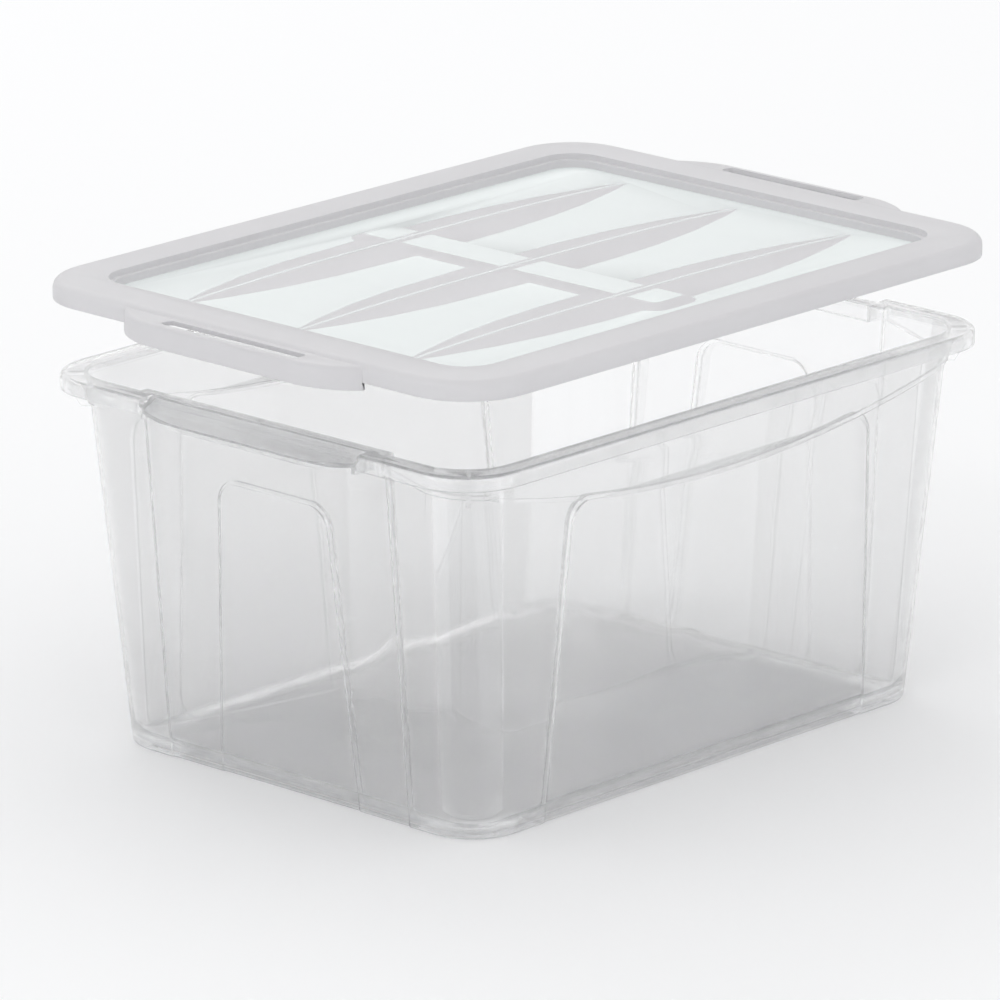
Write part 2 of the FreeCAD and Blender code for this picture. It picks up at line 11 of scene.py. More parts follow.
import bmesh
import bpy
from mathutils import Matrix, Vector


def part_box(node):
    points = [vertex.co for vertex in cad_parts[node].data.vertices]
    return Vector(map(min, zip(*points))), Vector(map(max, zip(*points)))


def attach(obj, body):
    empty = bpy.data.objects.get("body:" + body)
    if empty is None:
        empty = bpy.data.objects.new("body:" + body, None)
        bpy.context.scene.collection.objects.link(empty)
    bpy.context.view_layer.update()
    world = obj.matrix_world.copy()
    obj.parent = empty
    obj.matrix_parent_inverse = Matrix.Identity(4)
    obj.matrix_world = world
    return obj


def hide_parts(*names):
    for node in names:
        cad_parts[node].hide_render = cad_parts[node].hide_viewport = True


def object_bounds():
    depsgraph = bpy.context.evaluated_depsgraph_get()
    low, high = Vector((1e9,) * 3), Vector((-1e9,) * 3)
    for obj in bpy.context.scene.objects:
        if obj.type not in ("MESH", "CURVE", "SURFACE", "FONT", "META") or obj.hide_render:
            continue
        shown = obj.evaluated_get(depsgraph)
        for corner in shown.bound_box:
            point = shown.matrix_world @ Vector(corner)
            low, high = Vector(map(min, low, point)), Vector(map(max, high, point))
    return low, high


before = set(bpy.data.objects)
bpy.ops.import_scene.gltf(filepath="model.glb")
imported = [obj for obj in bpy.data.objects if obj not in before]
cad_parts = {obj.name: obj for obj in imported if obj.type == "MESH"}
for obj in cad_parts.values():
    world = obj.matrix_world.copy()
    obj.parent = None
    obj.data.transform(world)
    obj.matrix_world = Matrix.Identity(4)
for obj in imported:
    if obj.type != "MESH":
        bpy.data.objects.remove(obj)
cad_low, cad_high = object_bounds()
tub_low, tub_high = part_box("tub")
lid_low, lid_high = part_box("lid")
MM = 0.001
print("tub from", tuple(round(v, 4) for v in tub_low), "to", tuple(round(v, 4) for v in tub_high))
print("lid from", tuple(round(v, 4) for v in lid_low), "to", tuple(round(v, 4) for v in lid_high))

# %% [markdown]
# ## Working by hand, from a script
#
# Every tool of Blender acts on whatever is selected, and nothing else tells it where to work.
# So before each step we clear the selection, and in edit mode we pick faces and edges by where they are
# or which way they point, as a person would with the mouse.


# %% Small helpers for selecting
def clear_selection():
    if bpy.context.mode != "OBJECT":
        bpy.ops.object.mode_set(mode="OBJECT")
    bpy.ops.object.select_all(action="DESELECT")


def start_edit(piece):
    clear_selection()
    bpy.context.view_layer.objects.active = piece
    piece.select_set(True)
    bpy.ops.object.mode_set(mode="EDIT")


def pick(piece, kind, wanted):
    """Select the vertices, edges or faces that are wanted, and nothing else."""
    bpy.ops.mesh.select_mode(type=kind)
    bpy.ops.mesh.select_all(action="DESELECT")
    mesh = bmesh.from_edit_mesh(piece.data)
    chosen = [part for part in {"VERT": mesh.verts, "EDGE": mesh.edges, "FACE": mesh.faces}[kind] if wanted(part)]
    for part in chosen:
        part.select_set(True)
    mesh.select_flush_mode()
    bmesh.update_edit_mesh(piece.data)
    return len(chosen)


def middle(edge):
    return (edge.verts[0].co + edge.verts[1].co) / 2


def is_upright(edge):
    return abs((edge.verts[0].co - edge.verts[1].co).normalized().z) > 0.3


# %% [markdown]
# ## Three ways to start a shape
#
# A mould maker cuts plain forms and combines them. We need three of them:
# a block with rounded upright corners that may taper, a solid pushed out from a drawn outline,
# and the tool that cuts one solid from another or joins the two.
# The block starts as a cube. The outline starts as one point, extruded from corner to corner, then filled.


# %% The rounded, tapering block
def block(name, foot, head, corner, steps=10):
    """A block from one level to another. foot and head are each (half length, half width, height)."""
    clear_selection()
    low, high = foot[2], head[2]
    bpy.ops.mesh.primitive_cube_add(size=1, location=(0, 0, (low + high) / 2))
    piece = bpy.context.object
    piece.name = name
    piece.scale = (2 * foot[0], 2 * foot[1], high - low)
    bpy.ops.object.transform_apply(location=True, rotation=True, scale=True)
    start_edit(piece)
    pick(piece, "FACE", lambda face: face.normal.z > 0.9)
    bpy.ops.transform.resize(value=(head[0] / foot[0], head[1] / foot[1], 1))
    pick(piece, "EDGE", is_upright)
    bpy.ops.mesh.bevel(offset=corner, segments=steps, affect="EDGES", clamp_overlap=False)
    bpy.ops.object.mode_set(mode="OBJECT")
    return piece


# %% The drawn solid
def drawn(name, corners, *pushes):
    """Draw an outline through the corners, fill it and push it out along each direction in turn."""
    clear_selection()
    bpy.ops.mesh.primitive_plane_add(size=0.01, location=corners[0])
    piece = bpy.context.object
    piece.name = name
    bpy.ops.object.transform_apply(location=True, rotation=True, scale=True)
    start_edit(piece)
    bpy.ops.mesh.select_mode(type="VERT")
    bpy.ops.mesh.select_all(action="SELECT")
    bpy.ops.mesh.merge(type="CENTER")
    for here, there in zip(corners[:-1], corners[1:]):
        bpy.ops.mesh.extrude_region_move(TRANSFORM_OT_translate={"value": Vector(there) - Vector(here)})
    bpy.ops.mesh.select_all(action="SELECT")
    bpy.ops.mesh.edge_face_add()
    for push in pushes:
        bpy.ops.mesh.extrude_region_move(TRANSFORM_OT_translate={"value": Vector(push)})
    bpy.ops.mesh.select_all(action="SELECT")
    bpy.ops.mesh.normals_make_consistent(inside=False)
    bpy.ops.object.mode_set(mode="OBJECT")
    return piece


def sweep(centre, radius, start, stop, steps):
    """Points along an arc, as pairs; the angles are in degrees."""
    turns = [math.radians(start + (stop - start) * step / steps) for step in range(steps + 1)]
    return [(centre[0] + radius * math.cos(turn), centre[1] + radius * math.sin(turn)) for turn in turns]


# %% Cutting and joining
def combine(piece, tool, how):
    """DIFFERENCE cuts the tool out of the piece, and UNION joins it on; the tool is used up."""
    clear_selection()
    bpy.context.view_layer.objects.active = piece
    piece.select_set(True)
    change = piece.modifiers.new("combine", "BOOLEAN")
    change.operation = how
    change.solver = "EXACT"
    change.object = tool
    bpy.ops.object.modifier_apply(modifier=change.name)
    bpy.data.objects.remove(tool)
    return piece


def cut(piece, tool):
    return combine(piece, tool, "DIFFERENCE")


def join(piece, tool):
    return combine(piece, tool, "UNION")


def turned_copy(piece):
    """The same shape at the other end of the box: half a turn about the upright axis, with its own mesh."""
    clear_selection()
    bpy.context.view_layer.objects.active = piece
    piece.select_set(True)
    bpy.ops.object.duplicate(linked=False)
    copy = bpy.context.object
    bpy.ops.transform.rotate(value=math.pi, orient_axis="Z", center_override=(0, 0, 0))
    bpy.ops.object.transform_apply(location=True, rotation=True, scale=True)
    return copy


# %% [markdown]
# ## The tub's walls
#
# The tub is drawn from a mould, so its walls lean outward to let it slide off the core.
# Each wall lies at one of four depths: a proud band under the rim, the wall itself, a sunk panel,
# and on the short walls an arched door that is sunk once more. The sunk faces fade out towards the foot.
# A mould has a cavity for the outside and a core for the inside, one skin apart.
# We do the same: one function makes the solid form at any inset, and the core is later cut from the cavity.

# %% Sizes of the tub
SKIN = 2 * MM
FLOOR_SKIN = 2.6 * MM
GRIP_REACH = 6 * MM
RIM_X, RIM_Y, RIM_Z = tub_high.x - GRIP_REACH, tub_high.y, tub_high.z
RIM_OVERHANG, RIM_DROP, RIM_CORNER = 11 * MM, 8 * MM, 33 * MM
WALL_CORNER = 28 * MM
HEAD_X, HEAD_Y = RIM_X - RIM_OVERHANG, RIM_Y - RIM_OVERHANG
FOOT_X, FOOT_Y = 171.5 * MM, 127.5 * MM
BAND_PROUD, PANEL_DEPTH, PANEL_FADE = 1.6 * MM, 3 * MM, 1 * MM
DOOR_DEPTH, DOOR_FADE = 2.4 * MM, 0.8 * MM
SMILE_LOW, SMILE_END, SMILE_REACH = 159 * MM, 180.5 * MM, 174 * MM
print("mouth", round(2 * HEAD_X, 4), "x", round(2 * HEAD_Y, 4), "m, foot", round(2 * FOOT_X, 4), "x", round(2 * FOOT_Y, 4))


# %% A block that follows the leaning walls
def wall_block(inset, low, high, sunk=(0, 0), deeper=(0, 0), foot_round=0):
    """sunk and deeper are at the foot and at the rim; deeper is for the short walls alone."""
    ends = []
    for height in (low, high):
        share = height / RIM_Z
        below = inset + sunk[0] + (sunk[1] - sunk[0]) * share
        extra = deeper[0] + (deeper[1] - deeper[0]) * share
        half_x = FOOT_X + (HEAD_X - FOOT_X) * share - below - extra
        half_y = FOOT_Y + (HEAD_Y - FOOT_Y) * share - below
        ends.append((half_x, half_y, height))
    piece = block("walls", ends[0], ends[1], WALL_CORNER - inset - sunk[1] / 2)
    if foot_round:
        start_edit(piece)
        pick(piece, "EDGE", lambda edge: abs(middle(edge).z - low) < MM / 10 and not is_upright(edge))
        bpy.ops.mesh.bevel(offset=foot_round, segments=6, affect="EDGES", clamp_overlap=False)
        bpy.ops.object.mode_set(mode="OBJECT")
    return piece


# %% [markdown]
# The outlines of the panels are what gives this box its face.
# The band ends below in one long smile on each long wall, and climbs to the rim on each short wall.
# The long panel takes the smile as its top edge. The bay is as wide as the grip, and the door stands in it.
# Each outline is drawn once, seen square on, and pushed right through the form, so both walls get it.


# %% Outlines of the panels
SMILE_RISE = SMILE_END - SMILE_LOW
SMILE_RADIUS = (SMILE_REACH**2 + SMILE_RISE**2) / (2 * SMILE_RISE)
FAR = 0.3


def through_long_walls(name, outline):
    return drawn(name, [(x, -FAR, z) for x, z in outline], (0, 2 * FAR, 0))


def through_short_walls(name, outline):
    return drawn(name, [(-FAR, y, z) for y, z in outline], (2 * FAR, 0, 0))


def below_smile(inset):
    half_turn = math.degrees(math.asin(SMILE_REACH / SMILE_RADIUS))
    curve = sweep((0, SMILE_LOW + inset + SMILE_RADIUS), SMILE_RADIUS, 270 - half_turn, 270 + half_turn, 36)
    level = SMILE_END + inset
    return through_long_walls("below_smile", curve + [(FAR, level), (FAR, -FAR), (-FAR, -FAR), (-FAR, level)])


def below_shoulder(inset):
    wall, side = HEAD_Y - inset - SKIN, 83 * MM + inset
    low, under = SMILE_END + inset, RIM_Z - RIM_DROP + inset
    half = [(wall, low), ((wall + side) / 2, low + (under - low) / 4), (side, under), (side, FAR + RIM_Z)]
    outline = [(wall, -FAR)] + half + [(-y, z) for y, z in reversed(half)] + [(-wall, -FAR)]
    return through_short_walls("below_shoulder", outline)


def long_panel(inset):
    flare, corner, half = math.radians(3.5), 13 * MM, 121 * MM + inset
    peak = SMILE_LOW + inset + SMILE_RADIUS
    x = z = 0
    for _ in range(20):
        x = half - z * math.tan(flare) - corner / math.cos(flare)
        z = peak - math.sqrt((SMILE_RADIUS + corner) ** 2 - x**2)
    aim = math.degrees(math.atan2(peak - z, -x))
    right = sweep((x, z), corner, math.degrees(flare), aim, 8)
    side = math.degrees(math.atan2(x, peak - z))
    smile = sweep((0, peak), SMILE_RADIUS, 270 + side, 270 - side, 28)
    left = [(-px, pz) for px, pz in reversed(right)]
    return through_long_walls("long_panel", [(half, -MM)] + right + smile[1:-1] + left + [(-half, -MM)])


def bay(inset):
    side = 83 * MM + inset
    return through_short_walls("bay", [(-side, -FAR), (side, -FAR), (side, FAR + RIM_Z), (-side, FAR + RIM_Z)])


def door(inset):
    flare, corner, half, top = 4.2, 12 * MM + inset, 48 * MM + inset, 158 * MM + inset
    lean = math.tan(math.radians(flare))
    centre_z = top - corner
    centre_y = half - centre_z * lean - corner / math.cos(math.radians(flare))
    right = sweep((centre_y, centre_z), corner, flare, 90, 8)
    left = [(-py, pz) for py, pz in reversed(right)]
    return through_short_walls("door", [(half, 0)] + right + left + [(-half, 0)])


# %% [markdown]
# Now the form is built from the outside in. A cut takes everything inside an outline away,
# and the next block, a little smaller, is joined back into the hole, so a clean step is left all round it.


# %% The form of the tub at any inset
def tub_form(inset, floor, top, foot_round, hair):
    """hair sets the foot of each block apart from the last, because the tool mistrusts faces in one plane."""
    sunk, deeper = (PANEL_FADE, PANEL_DEPTH), (DOOR_FADE, DOOR_DEPTH)
    form = wall_block(inset - BAND_PROUD, SMILE_LOW - MM, top)
    cut(form, below_smile(inset))
    cut(form, below_shoulder(inset))
    join(form, wall_block(inset, floor, top, foot_round=foot_round))
    cut(form, long_panel(inset))
    cut(form, bay(inset))
    join(form, wall_block(inset, floor + hair, top, sunk, foot_round=foot_round))
    cut(form, door(inset))
    join(form, wall_block(inset, floor + 2 * hair, top, sunk, deeper, foot_round=foot_round))
    return form


tub = tub_form(0, 0, RIM_Z, foot_round=2 * MM, hair=MM / 20)
tub.name = "tub_moulding"
print("cavity form:", len(tub.data.polygons), "faces")
core = tub_form(SKIN, FLOOR_SKIN, RIM_Z + SKIN, foot_round=12 * MM, hair=-MM / 20)
print("core form:", len(core.data.polygons), "faces")


# %% [markdown]
# ## The rim, the grips and the ribs
#
# A thin wall is floppy at its mouth, so the rim turns outward and down around it, like an upside-down gutter.
# It is a rounded block with another taken out from below. Its outer top edge is well rounded, for the hand.


# %% The rim
def round_edges(piece, radius, steps, wanted):
    start_edit(piece)
    count = pick(piece, "EDGE", wanted)
    bpy.ops.mesh.bevel(offset=radius, segments=steps, affect="EDGES", clamp_overlap=True)
    bpy.ops.object.mode_set(mode="OBJECT")
    return count


rim_foot = RIM_Z - RIM_DROP
rim = block("rim", (RIM_X, RIM_Y, rim_foot), (RIM_X, RIM_Y, RIM_Z), RIM_CORNER)
count = round_edges(rim, 2.6 * MM, 5, lambda edge: abs(middle(edge).z - RIM_Z) < MM / 10)
under = RIM_Z - SKIN
gutter = block("gutter", (RIM_X - SKIN, RIM_Y - SKIN, rim_foot - MM), (RIM_X - SKIN, RIM_Y - SKIN, under), RIM_CORNER - SKIN)
round_edges(gutter, 1.2 * MM, 3, lambda edge: abs(middle(edge).z - under) < MM / 10)
cut(rim, gutter)
join(tub, rim)
print("rim rounded along", count, "edges")

# %% [markdown]
# Each short side has a grip: a lip that reaches past the rim, with slanted ends and a face that slopes away,
# and room behind it for four fingers. One is modelled, and the other is a copy turned half way round.

# %% The grips
WALL_AT_BAY = HEAD_X - PANEL_DEPTH
GRIP_HALF, GRIP_END, GRIP_DROP, GRIP_SLOPE, GRIP_BROW = 52 * MM, 74 * MM, 10 * MM, 7 * MM, 10 * MM
lip = RIM_X + GRIP_REACH
grip = drawn(
    "grip",
    [(WALL_AT_BAY - MM, -GRIP_END, RIM_Z - GRIP_DROP), (RIM_X, -GRIP_END, RIM_Z - GRIP_DROP),
     (lip, -GRIP_HALF, RIM_Z - GRIP_DROP), (lip, GRIP_HALF, RIM_Z - GRIP_DROP),
     (RIM_X, GRIP_END, RIM_Z - GRIP_DROP), (WALL_AT_BAY - MM, GRIP_END, RIM_Z - GRIP_DROP)],
    (0, 0, GRIP_DROP),
)
round_edges(grip, 14 * MM, 6, lambda edge: is_upright(edge) and abs(abs(middle(edge).y) - GRIP_HALF) < MM)
slope = drawn(
    "slope",
    [(RIM_X - GRIP_BROW, -GRIP_END - MM, RIM_Z), (lip, -GRIP_END - MM, RIM_Z - GRIP_SLOPE),
     (lip + SKIN, -GRIP_END - MM, RIM_Z - GRIP_SLOPE), (lip + SKIN, -GRIP_END - MM, RIM_Z + SKIN),
     (RIM_X - GRIP_BROW, -GRIP_END - MM, RIM_Z + SKIN)],
    (0, 2 * GRIP_END + 2 * MM, 0),
)
fingers = drawn(
    "fingers",
    [(WALL_AT_BAY + SKIN, SKIN - GRIP_END, RIM_Z - 2 * GRIP_DROP), (lip - SKIN, SKIN - GRIP_END, RIM_Z - 2 * GRIP_DROP),
     (lip - SKIN, SKIN - GRIP_END, RIM_Z - GRIP_SLOPE - 1.4 * MM), (RIM_X - GRIP_BROW, SKIN - GRIP_END, RIM_Z - 2.2 * MM),
     (WALL_AT_BAY + SKIN, SKIN - GRIP_END, RIM_Z - 2.2 * MM)],
    (0, 2 * (GRIP_END - SKIN), 0),
)
for shape, how in ((grip, join), (slope, cut), (fingers, cut)):
    other = turned_copy(shape)
    how(tub, shape)
    how(tub, other)
print("grips reach", round(lip, 4))

# %% [markdown]
# Under each corner of the rim a thin upright rib runs down the wall, so that the rim doesn't curl when it is held.
# It is a flat blade standing across the corner, made once and turned for the other three.

# %% The corner ribs
centre = Vector((HEAD_X - WALL_CORNER, HEAD_Y - WALL_CORNER, 0))
outward, across = Vector((1, 1, 0)).normalized(), Vector((-1, 1, 0)).normalized()
RIB_DROP, RIB_REACH, RIB_SKIN = 18.5 * MM, 9 * MM, 2.4 * MM
base = centre + outward * (WALL_CORNER - SKIN) + Vector((0, 0, RIM_Z - SKIN / 2)) - across * RIB_SKIN / 2
reach = outward * (SKIN + RIB_REACH)
drop = Vector((0, 0, SKIN / 2 - RIB_DROP))
for side_x in (1, -1):
    for side_y in (1, -1):
        corners = [base, base + reach, base + reach + drop * 0.45, base + reach * 0.45 + drop, base + drop]
        flip = Vector((side_x, side_y, 1))
        rib = drawn("rib", [corner * flip for corner in corners], across * RIB_SKIN * flip)
        join(tub, rib)
print("four ribs of", round(RIB_DROP * 1000, 1), "mm")

# %% [markdown]
# The tub stands on a flat ring just inside its walls, because a whole flat floor would rock on any grain of dirt.
# Then the core is cut out of the form, and what is left is the moulding: an even skin that follows every step.


# %% Foot ring, and the core cut out
def measure(piece):
    mesh = bmesh.new()
    mesh.from_mesh(piece.data)
    open_edges = sum(1 for edge in mesh.edges if not edge.is_manifold)
    print(f"{piece.name}: {len(mesh.faces)} faces, {open_edges} open edges, {mesh.calc_volume() * 1e6:.1f} cm3")
    mesh.free()


INSET = 17 * MM
ring = block("ring", (FOOT_X - INSET, FOOT_Y - INSET, -MM), (FOOT_X - INSET, FOOT_Y - INSET, 0.8 * MM), WALL_CORNER - INSET)
cut(tub, ring)
measure(tub)
measure(core)
cut(tub, core)
measure(tub)

# %% [markdown]
# A sharp edge on a moulding would cut the hand and would be weak, and it would also look drawn rather than made.
# The mouth gets a generous round where the wall turns out into the rim.
# The edges of the grips' sloping faces get a small one. A Bevel modifier that finds the edges by their angle is set up
# here too, and is used on the lid.


# %% Rounding the tub
def soften(piece, radius, steps=2):
    """Tidy what the cuts left behind, then round every remaining sharp edge a little."""
    start_edit(piece)
    bpy.ops.mesh.select_all(action="SELECT")
    bpy.ops.mesh.remove_doubles(threshold=MM / 20)
    bpy.ops.mesh.dissolve_limited(angle_limit=math.radians(0.5))
    bpy.ops.object.mode_set(mode="OBJECT")
    change = piece.modifiers.new("soft edges", "BEVEL")
    change.width = radius
    change.segments = steps
    change.limit_method = "ANGLE"
    change.angle_limit = math.radians(32)
    change.use_clamp_overlap = True
    bpy.ops.object.modifier_apply(modifier=change.name)
    bpy.ops.object.shade_smooth_by_angle(angle=math.radians(32))
    measure(piece)


def at_mouth(edge):
    """The inner edge of the rim's flat top, where the wall turns out."""
    place = middle(edge)
    inside = abs(place.x) < HEAD_X + MM and abs(place.y) < HEAD_Y + MM
    flat = [abs(face.normal.z) > 0.99 for face in edge.link_faces]
    return inside and abs(place.z - RIM_Z) < MM / 10 and flat.count(True) == 1


count = round_edges(tub, 2.4 * MM, 4, at_mouth)
print("mouth rounded along", count, "edges")


def at_lip(edge):
    """The edges of the grips' sloping faces, out beyond the rim."""
    place = middle(edge)
    outside = abs(place.x) > RIM_X + MM / 2 and place.z > RIM_Z - GRIP_DROP + MM / 10
    return outside and len(edge.link_faces) == 2 and edge.calc_face_angle(0) > math.radians(32)


count = round_edges(tub, 0.7 * MM, 3, at_lip)
print("lips rounded along", count, "edges")
clear_selection()
tub.select_set(True)
bpy.context.view_layer.objects.active = tub
bpy.ops.object.shade_smooth_by_angle(angle=math.radians(32))
measure(tub)

# %% [markdown]
# ## The lid
#
# The lid is a second moulding, milky rather than clear. A raised frame runs round it and hangs over the tub's rim.
# Inside the frame a two-step edge leads down to a flat deck, stiffened by three long ridges and one cross band.
# A tab with a slot stands out from each short side. It is made the same way as the tub: an outer form less an inner one.

# %% Sizes of the lid
TAB_REACH, LID_SKIN, LID_SKIRT, TAB_SKIRT, TAB_STEP = 14 * MM, 2.4 * MM, 10 * MM, 4 * MM, 2 * MM
LID_X, LID_Y, LID_TOP = lid_high.x - TAB_REACH, lid_high.y, lid_high.z
LID_FOOT = LID_TOP - LID_SKIRT
LID_CORNER, DECK_CORNER = 36 * MM, 16 * MM
FRAME_WIDTH, LEDGE_WIDTH, LEDGE_DEPTH, DECK_DEPTH = 25 * MM, 3 * MM, 3 * MM, 7 * MM
RIDGE_HALF, RIDGE_RISE, RIDGE_SPREAD, RIDGE_PITCH = 166 * MM, 3 * MM, 22 * MM, 78 * MM
CREST = 1.6 * MM
print("lid frame", round(2 * LID_X, 4), "x", round(2 * LID_Y, 4), "m, top at", round(LID_TOP, 4))

# %% [markdown]
# A ridge is a long low arc seen from the side, and a gable seen from its end.
# So we draw the arc at the foot of the near slope, push it up to the crest, a hair across, and down the far side.
# The narrow crest catches the light, and it is also given the lighter polished finish as a painted highlight,
# so it reads as one bright line. The feet of both slopes bow out like a blade of grass.


# %% The ridges
def ridge(place, level):
    parts = [step / 20 for step in range(20, -21, -1)]
    arc = [(RIDGE_HALF * part, level + RIDGE_RISE * (1 - abs(part) ** 2.8)) for part in parts]
    piece = drawn(
        "ridge",
        [(x, place - RIDGE_SPREAD, z - RIDGE_RISE) for x, z in arc],
        (0, RIDGE_SPREAD - CREST / 2, RIDGE_RISE),
        (0, CREST, 0),
        (0, RIDGE_SPREAD - CREST / 2, -RIDGE_RISE),
    )
    return piece


# %% [markdown]
# The tabs are drawn from above, with slanted ends. The frame's soft shoulder is what the eye reads first,
# so its outer edge is rounded most, before anything is joined to it.


# %% The form of the lid at any inset
def tab(inset, top, foot):
    inner, outer = LID_X - FRAME_WIDTH / 2, LID_X - inset + TAB_REACH
    side, end = 66 * MM - inset, 82 * MM - inset
    piece = drawn(
        "tab",
        [(inner, -end, foot), (LID_X - inset, -end, foot), (outer, -side, foot),
         (outer, side, foot), (LID_X - inset, end, foot), (inner, end, foot)],
        (0, 0, top - foot),
    )
    round_edges(piece, 16 * MM - inset, 6, lambda edge: is_upright(edge) and abs(middle(edge).x - outer) < MM)
    round_edges(piece, 2.2 * MM - inset / 2, 3, lambda edge: abs(middle(edge).z - top) < MM / 10 and middle(edge).x > inner + MM)
    return piece


def lid_form(inset, drop, foot):
    top = LID_TOP - drop
    corner = LID_CORNER - inset
    form = block("lid form", (LID_X - inset, LID_Y - inset, foot), (LID_X - inset, LID_Y - inset, top), corner)
    round_edges(form, 5 * MM - inset, 6, lambda edge: abs(middle(edge).z - top) < MM / 10)
    first = tab(inset, top - TAB_STEP, foot - TAB_SKIRT)
    second = turned_copy(first)
    join(form, first)
    join(form, second)
    inner_x, inner_y = LID_X - FRAME_WIDTH + inset, LID_Y - FRAME_WIDTH + inset
    for narrower, depth in ((0, LEDGE_DEPTH), (LEDGE_WIDTH, DECK_DEPTH)):
        half_x, half_y = inner_x - narrower, inner_y - narrower
        corner = DECK_CORNER + LEDGE_WIDTH - narrower
        cut(form, block("recess", (half_x, half_y, top - depth), (half_x, half_y, top + MM), corner))
    deck = top - DECK_DEPTH
    for place in (-RIDGE_PITCH, 0, RIDGE_PITCH):
        join(form, ridge(place, deck))
    band = block("band", (18 * MM, 108 * MM, deck - MM), (18 * MM, 108 * MM, deck), 10 * MM, steps=8)
    start_edit(band)
    pick(band, "FACE", lambda face: face.normal.z > 0.9)
    bpy.ops.mesh.inset(thickness=7 * MM, depth=2.5 * MM)
    bpy.ops.object.mode_set(mode="OBJECT")
    join(form, band)
    return form


lid = lid_form(0, 0, LID_FOOT)
lid.name = "lid_moulding"
measure(lid)
hollow = lid_form(SKIN, LID_SKIN, LID_FOOT - LID_SKIRT)
measure(hollow)

# %% The slots, and the hollow cut out
edge = LID_X + TAB_REACH - 4 * MM
slot = drawn(
    "slot",
    [(edge - 8 * MM, -47 * MM, 0), (edge, -47 * MM, 0), (edge, 47 * MM, 0), (edge - 8 * MM, 47 * MM, 0)],
    (0, 0, 2 * LID_TOP),
)
round_edges(slot, 2.5 * MM, 4, is_upright)
other_slot = turned_copy(slot)
cut(lid, slot)
cut(lid, other_slot)
cut(lid, hollow)
measure(lid)
soften(lid, 0.4 * MM)

# %% [markdown]
# ## Clear plastic
#
# The tub is clear polypropylene. It bends light like glass but is a little hazy, so its walls read as pale grey
# where the eye looks through several of them, and its edges, seen lengthways, are darker.
# A moulding also keeps faint marks of how the melt flowed in: the gloss varies, and the skin waves very slightly.
# So the shader is a see-through one, with a slow noise on its roughness and another on its bump,
# and a thin share of scattering for the haze.


# %% The tub's finish
def new_finish(name):
    finish = bpy.data.materials.new(name)
    finish.use_nodes = True
    nodes = finish.node_tree.nodes
    return finish, nodes, finish.node_tree.links, nodes["Principled BSDF"]


def add_noise(nodes, links, scale, detail, stretch=(1, 1, 1)):
    """A noise on the piece's own coordinates, in metres."""
    place = nodes.new("ShaderNodeTexCoord")
    turn = nodes.new("ShaderNodeMapping")
    turn.inputs["Scale"].default_value = stretch
    noise = nodes.new("ShaderNodeTexNoise")
    noise.inputs["Scale"].default_value = scale
    noise.inputs["Detail"].default_value = detail
    links.new(place.outputs["Object"], turn.inputs["Vector"])
    links.new(turn.outputs["Vector"], noise.inputs["Vector"])
    return noise


def add_range(nodes, links, source, low, high):
    spread = nodes.new("ShaderNodeMapRange")
    spread.inputs["To Min"].default_value = low
    spread.inputs["To Max"].default_value = high
    links.new(source.outputs["Fac"], spread.inputs["Value"])
    return spread


def add_bump(nodes, links, source, strength, distance):
    bump = nodes.new("ShaderNodeBump")
    bump.inputs["Strength"].default_value = strength
    bump.inputs["Distance"].default_value = distance
    links.new(source.outputs["Fac"], bump.inputs["Height"])
    return bump


clear, nodes, links, shader = new_finish("clear_plastic")
shader.inputs["Base Color"].default_value = (0.993, 0.995, 0.997, 1)
shader.inputs["Transmission Weight"].default_value = 0.985
shader.inputs["IOR"].default_value = 1.42
shader.inputs["Alpha"].default_value = 0.66
flow = add_noise(nodes, links, 9, 3, (1, 1, 0.35))
gloss = add_range(nodes, links, flow, 0.02, 0.07)
links.new(gloss.outputs["Result"], shader.inputs["Roughness"])
wave = add_noise(nodes, links, 28, 2, (1, 1, 0.5))
links.new(add_bump(nodes, links, wave, 0.12, 0.0006).outputs["Normal"], shader.inputs["Normal"])
tub.data.materials.clear()
tub.data.materials.append(clear)
print("finish:", clear.name)

# %% [markdown]
# ## Milky plastic
#
# The lid has two finishes of one milky plastic. The flat deck is polished and lets most light through, with a
# faint green tint. The frame, the ridges and the band are spark-textured in the mould, a fine frost that hides
# scratches, and it turns them a soft lilac grey. The ridges' narrow flat crests take the lighter polished finish
# too, as a painted highlight. We sort the faces by where they lie and give each its finish.

# %% The lid's two finishes
# The polished finish is the deck's own colour; on the ridges' flat crests it is a painted highlight.
polished_and_crest_highlight, nodes, links, shader = new_finish("milky_polished_and_crest_highlight")
shader.inputs["Base Color"].default_value = (0.93, 0.98, 0.975, 1)
shader.inputs["Transmission Weight"].default_value = 0.15
shader.inputs["IOR"].default_value = 1.49
flow = add_noise(nodes, links, 7, 3)
links.new(add_range(nodes, links, flow, 0.2, 0.3).outputs["Result"], shader.inputs["Roughness"])
wave = add_noise(nodes, links, 22, 2)
links.new(add_bump(nodes, links, wave, 0.08, 0.0006).outputs["Normal"], shader.inputs["Normal"])

frosted, nodes, links, shader = new_finish("milky_frosted")
shader.inputs["Transmission Weight"].default_value = 0.3
shader.inputs["IOR"].default_value = 1.49
cloud = add_noise(nodes, links, 14, 4)
tint = nodes.new("ShaderNodeValToRGB")
tint.color_ramp.elements[0].color = (0.80, 0.79, 0.81, 1)
tint.color_ramp.elements[1].color = (0.86, 0.855, 0.87, 1)
links.new(cloud.outputs["Fac"], tint.inputs["Fac"])
links.new(tint.outputs["Color"], shader.inputs["Base Color"])
links.new(add_range(nodes, links, cloud, 0.38, 0.5).outputs["Result"], shader.inputs["Roughness"])
grain = add_noise(nodes, links, 1400, 2)
links.new(add_bump(nodes, links, grain, 0.12, 0.0001).outputs["Normal"], shader.inputs["Normal"])

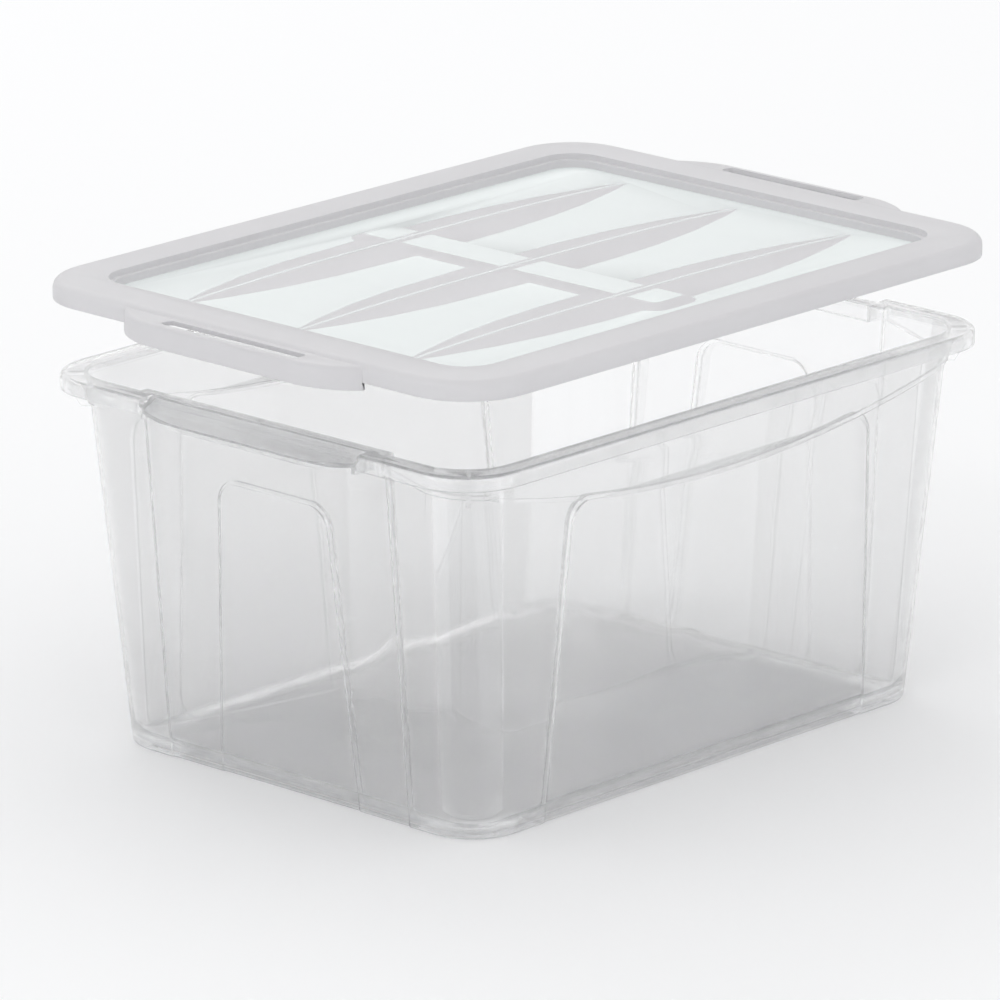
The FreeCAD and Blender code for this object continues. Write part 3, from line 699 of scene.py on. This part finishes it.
lid.data.materials.clear()
lid.data.materials.append(frosted)
lid.data.materials.append(polished_and_crest_highlight)
deck_level = LID_TOP - DECK_DEPTH
flat = 0
for face in lid.data.polygons:
    inside = abs(face.center.x) < LID_X - FRAME_WIDTH and abs(face.center.y) < LID_Y - FRAME_WIDTH
    # Upward faces at deck height take the polished finish: the deck itself, and the ridges' flat crests up to 3.3 mm
    # above it as a painted highlight.
    deck_or_crest_highlight = inside and abs(face.center.z - deck_level - 1.5 * MM) < 1.8 * MM and face.normal.z > 0.9985
    face.material_index = 1 if deck_or_crest_highlight else 0
    flat += deck_or_crest_highlight
print("finishes:", polished_and_crest_highlight.name, "on", flat, "faces,", frosted.name, "on the rest")

# %% [markdown]
# ## Putting the pieces on the model
#
# Each new piece stands for the plain solid of the same name, and rides on the same body,
# so when the lid is lifted the fine lid goes with it.

# %% Ride on the bodies
for piece, node, slot_name in ((tub, "tub", "clear_plastic"), (lid, "lid", "milky_plastic")):
    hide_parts(node)
    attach(piece, node)
    print(piece.name, "rides on", node)

# %% [markdown]
# ## A pale studio
#
# Clear plastic has almost no colour of its own: it shows what surrounds it. On a bright pale floor under a wide
# soft sky its walls nearly vanish, and only edges and steps draw themselves, which is how such boxes are shown.
# The sky is a little darker near the horizon, which gives those edges something to be dark with,
# and broad panels overhead put long white highlights on the rim.

# %% The floor, the sky and the lamps
clear_selection()
bpy.ops.mesh.primitive_plane_add(size=16, location=(0, 0, 0))
floor = bpy.context.object
floor.name = "floor"
paper, nodes, links, shader = new_finish("pale_floor")
shader.inputs["Base Color"].default_value = (0.965, 0.968, 0.975, 1)
shader.inputs["Roughness"].default_value = 0.9
shader.inputs["Specular IOR Level"].default_value = 0.1
floor.data.materials.append(paper)

world = bpy.data.worlds.new("soft sky")
bpy.context.scene.world = world
world.use_nodes = True
nodes, links = world.node_tree.nodes, world.node_tree.links
place = nodes.new("ShaderNodeTexCoord")
height = nodes.new("ShaderNodeSeparateXYZ")
ramp = nodes.new("ShaderNodeValToRGB")
ramp.color_ramp.elements[0].position = 0.0
ramp.color_ramp.elements[0].color = (0.88, 0.885, 0.895, 1)
ramp.color_ramp.elements[1].position = 0.55
ramp.color_ramp.elements[1].color = (1, 1, 1, 1)
links.new(place.outputs["Generated"], height.inputs["Vector"])
links.new(height.outputs["Z"], ramp.inputs["Fac"])
links.new(ramp.outputs["Color"], nodes["Background"].inputs["Color"])
nodes["Background"].inputs["Strength"].default_value = 0.93


def lamp(name, place, size, power):
    """A soft panel that faces the box."""
    light = bpy.data.lights.new(name, "AREA")
    light.shape = "RECTANGLE"
    light.size, light.size_y = size
    light.energy = power
    holder = bpy.data.objects.new(name, light)
    bpy.context.collection.objects.link(holder)
    holder.location = place
    holder.rotation_mode = "QUATERNION"
    holder.rotation_quaternion = (Vector((0, 0, 0.1)) - Vector(place)).to_track_quat("-Z", "Y")
    return holder


lamp("left panel", (-2.6, -0.8, 2.6), (1.6, 0.5), 8)
lamp("back panel", (1.2, 2.6, 2.6), (2.4, 0.5), 10)
bpy.context.scene.view_settings.view_transform = "Standard"
bpy.context.scene.cycles.max_bounces = 32
bpy.context.scene.cycles.transmission_bounces = 32
print("studio ready")

# %% [markdown]
# ## The camera
#
# A long lens from well back keeps the walls nearly parallel, as in a catalogue picture.
# It stands off the box's left front corner, a little above the rim, and its aim is nudged off the middle of the box.

# %% Place the camera
azimuth, elevation, distance = math.radians(-47.12), math.radians(16.44), 4.558
back = Vector((math.sin(azimuth) * math.cos(elevation), -math.cos(azimuth) * math.cos(elevation), math.sin(elevation)))
right = Vector((math.cos(azimuth), math.sin(azimuth), 0))
up = back.cross(right)
aim = (cad_low + cad_high) / 2 - right * 0.011 - up * 0.0065
camera = bpy.data.objects.new("camera", bpy.data.cameras.new("camera"))
bpy.context.collection.objects.link(camera)
camera.location = aim + back * distance
camera.rotation_mode = "QUATERNION"
camera.rotation_quaternion = (-back).to_track_quat("-Z", "Y")
camera.data.lens = 320.9
camera.data.clip_end = 60
bpy.context.scene.camera = camera
print("camera at", tuple(round(v, 3) for v in camera.location))
